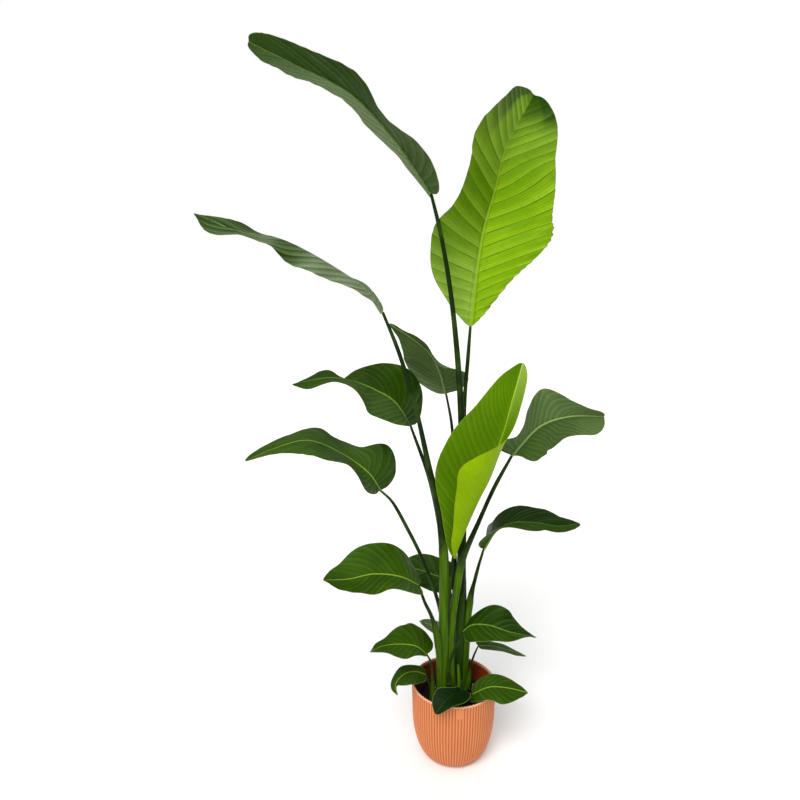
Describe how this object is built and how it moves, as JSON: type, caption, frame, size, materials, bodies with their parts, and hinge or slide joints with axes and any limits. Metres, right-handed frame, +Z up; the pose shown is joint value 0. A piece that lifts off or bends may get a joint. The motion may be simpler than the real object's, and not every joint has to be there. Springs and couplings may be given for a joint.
{
  "type": "potted bird of paradise plant",
  "caption": "Tall foliage plant with long sheathed stalks and broad paddle-shaped leaves, growing in potting mix inside a round fluted planter with a rounded foot.",
  "frame": {"origin": "centre of the planter's flat underside", "axes": "+Z up along the planter's axis; the picture looks along +Y, so -Y is the side towards the viewer and +X is to the picture's right"},
  "size_m": [0.9447, 0.3943, 1.7247],
  "materials": {
    "planter": "satin terracotta-coloured plastic, fluted",
    "grow_pot": "thin dull black plastic",
    "soil": "moist dark potting mix with white perlite",
    "stalk": "smooth waxy stalk, paler towards the sheath",
    "leaf_mature": "dark glossy waxy leaf, greyer and duller below",
    "leaf_new": "bright yellow-green satin young leaf"
  },
  "bodies": {
    "root": {"planter": "planter", "grow_pot": "grow_pot", "soil": "soil", "shoot_left": "stalk", "shoot_right": "stalk", "shoot_side": "stalk", "shoot_front": "stalk", "leaf_01": "leaf_mature", "leaf_02": "leaf_mature", "leaf_03": "leaf_new", "leaf_04": "leaf_mature", "leaf_05": "leaf_mature", "leaf_06": "leaf_mature", "leaf_07": "leaf_mature", "leaf_08": "leaf_mature", "leaf_09": "leaf_mature", "leaf_10": "leaf_mature", "leaf_11": "leaf_mature", "leaf_12": "leaf_mature", "leaf_13": "leaf_mature", "leaf_14": "leaf_mature", "leaf_15": "leaf_mature", "leaf_16": "leaf_mature", "leaf_17": "leaf_mature", "leaf_18": "leaf_new"}
  },
  "joints": []
}
